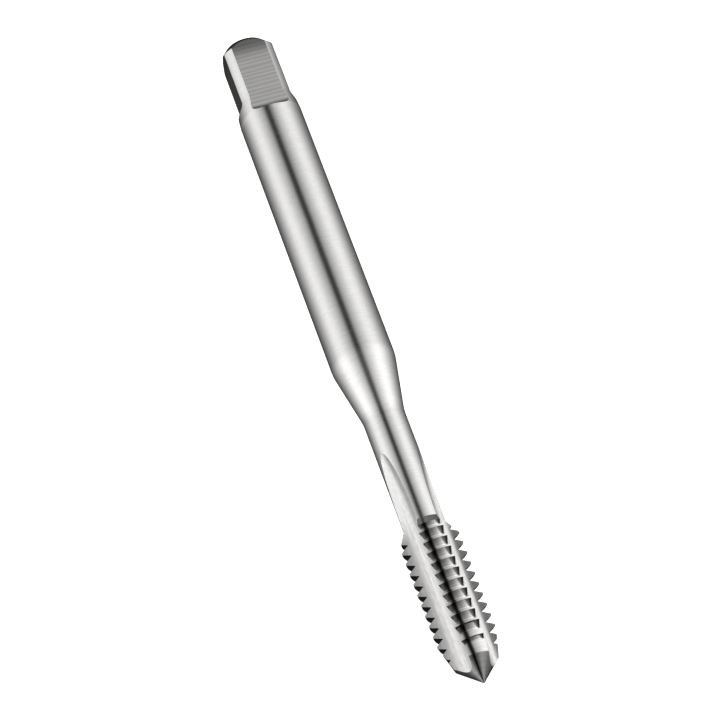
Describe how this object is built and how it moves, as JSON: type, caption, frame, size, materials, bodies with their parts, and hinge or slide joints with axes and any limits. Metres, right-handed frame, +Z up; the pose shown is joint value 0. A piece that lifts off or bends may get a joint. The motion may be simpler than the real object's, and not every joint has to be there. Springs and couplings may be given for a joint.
{
  "type": "thread tap",
  "caption": "Straight-fluted hand tap in ground steel: square drive end, round shank, reduced neck, fluted screw thread, lead chamfer and pointed nose.",
  "frame": {"origin": "middle of the tap's length, on the surface that its shank lies on", "axes": "+X along the axis towards the cutting point, +Z up out of one flat of the square, +Y to the side"},
  "size_m": [0.0522, 0.0044, 0.0045],
  "materials": {
    "tool_steel": "ground high-speed steel, bright, with fine grinding lines round the shank"
  },
  "bodies": {
    "root": {"tap_body": "tool_steel"}
  },
  "joints": []
}
